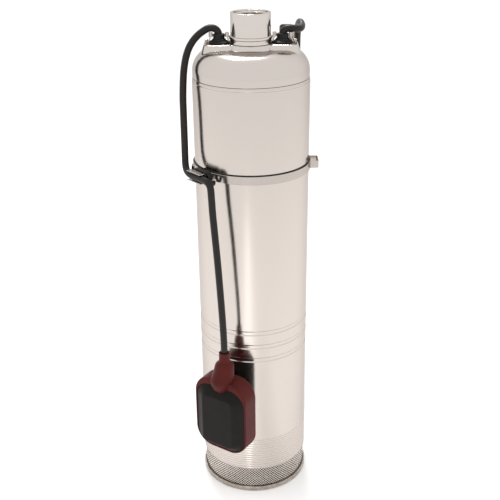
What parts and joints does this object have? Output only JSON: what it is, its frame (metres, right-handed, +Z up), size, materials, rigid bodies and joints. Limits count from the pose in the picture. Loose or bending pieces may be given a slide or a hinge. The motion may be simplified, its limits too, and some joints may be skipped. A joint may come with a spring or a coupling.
{
  "type": "submersible pump",
  "caption": "Upright multistage submersible pump: stainless steel cylinder on a strainer, domed top with a threaded discharge socket, and a float switch on a rubber cable.",
  "frame": {"origin": "centre of the underside of the base plate, on the pump's axis", "axes": "+Z up along the pump's axis, -Y towards the front, +X towards the power cable gland"},
  "size_m": [0.1767, 0.4016, 0.67],
  "materials": {
    "polished_steel": "polished stainless sheet",
    "sheet_steel": "plain stainless",
    "base_steel": "dull pressed stainless",
    "black_rubber": "matt black rubber",
    "maroon_plastic": "dark red moulded plastic",
    "black_plastic": "satin black moulded plastic",
    "noryl": "glass-filled moulding",
    "iron": "machined casting",
    "brass": "turned brass",
    "copper": "enamelled copper wire",
    "ceramic": "lapped ceramic"
  },
  "bodies": {
    "pump": {"base_plate": "base_steel", "strainer": "sheet_steel", "suction_plate": "sheet_steel", "outer_sleeve": "polished_steel", "top_cover": "polished_steel", "cover_seal": "black_rubber", "discharge_socket": "polished_steel", "lifting_lug": "polished_steel", "chamber_1": "noryl", "chamber_2": "noryl", "chamber_3": "noryl", "chamber_4": "noryl", "chamber_5": "noryl", "discharge_bowl": "noryl", "oil_chamber": "iron", "seal_seat": "ceramic", "lower_bracket": "iron", "bearing_outers": "sheet_steel", "motor_housing": "sheet_steel", "stator_core": "iron", "windings": "copper", "upper_bracket": "iron", "motor_cover": "iron", "capacitor": "noryl", "cable_ducts": "sheet_steel", "valve_seat": "brass", "valve_spring": "sheet_steel", "gland_grommets": "black_rubber", "gland_clamps": "polished_steel", "gland_screws": "sheet_steel", "strap_band": "polished_steel", "strap_liner": "black_rubber", "strap_screw": "sheet_steel", "cable_clip": "polished_steel", "clip_retainer": "black_rubber", "float_cord_upper": "black_rubber", "power_cord": "black_rubber", "power_cord_coil": "black_rubber", "coil_ties": "black_plastic", "plug_body": "black_rubber", "plug_pins": "sheet_steel"},
    "rotor": {"impeller_1": "noryl", "impeller_2": "noryl", "impeller_3": "noryl", "impeller_4": "noryl", "impeller_5": "noryl", "impeller_nut": "sheet_steel", "seal_ring": "ceramic", "bearing_inners": "sheet_steel", "rotor_core": "iron", "shaft": "sheet_steel"},
    "valve": {"valve_poppet": "black_rubber"},
    "float": {"float_shell": "maroon_plastic", "float_covers": "black_plastic", "float_boot": "maroon_plastic", "ball_tube": "noryl", "microswitch": "black_plastic", "float_cord_lower": "black_rubber"},
    "ball": {"float_ball": "sheet_steel"},
    "lever": {"switch_lever": "brass"}
  },
  "joints": [
    {"name": "rotor_spin", "type": "hinge", "parent": "pump", "child": "rotor", "pos_m": [0, 0, 0], "axis": [0, 0, 1], "continuous": true},
    {"name": "valve_lift", "type": "slide", "parent": "pump", "child": "valve", "axis": [0, 0, 1], "range_m": [0, 0.008], "stiffness_N_per_m": 150, "springref_m": -0.002, "deforming": ["valve_spring"]},
    {"name": "float_swing", "type": "hinge", "parent": "pump", "child": "float", "pos_m": [-0.051, -0.0836, 0.4645], "axis": [-0.8339, 0.5519, 0], "range_deg": [0, 120]},
    {"name": "ball_roll", "type": "slide", "parent": "float", "child": "ball", "axis": [0, 0, 1], "range_m": [0, 0.039]},
    {"name": "lever_press", "type": "hinge", "parent": "float", "child": "lever", "pos_m": [-0.04851, -0.09838, 0.1765], "axis": [-0.5519, -0.8339, 0], "range_deg": [0, 8], "stiffness_Nm_per_rad": 0.02}
  ]
}
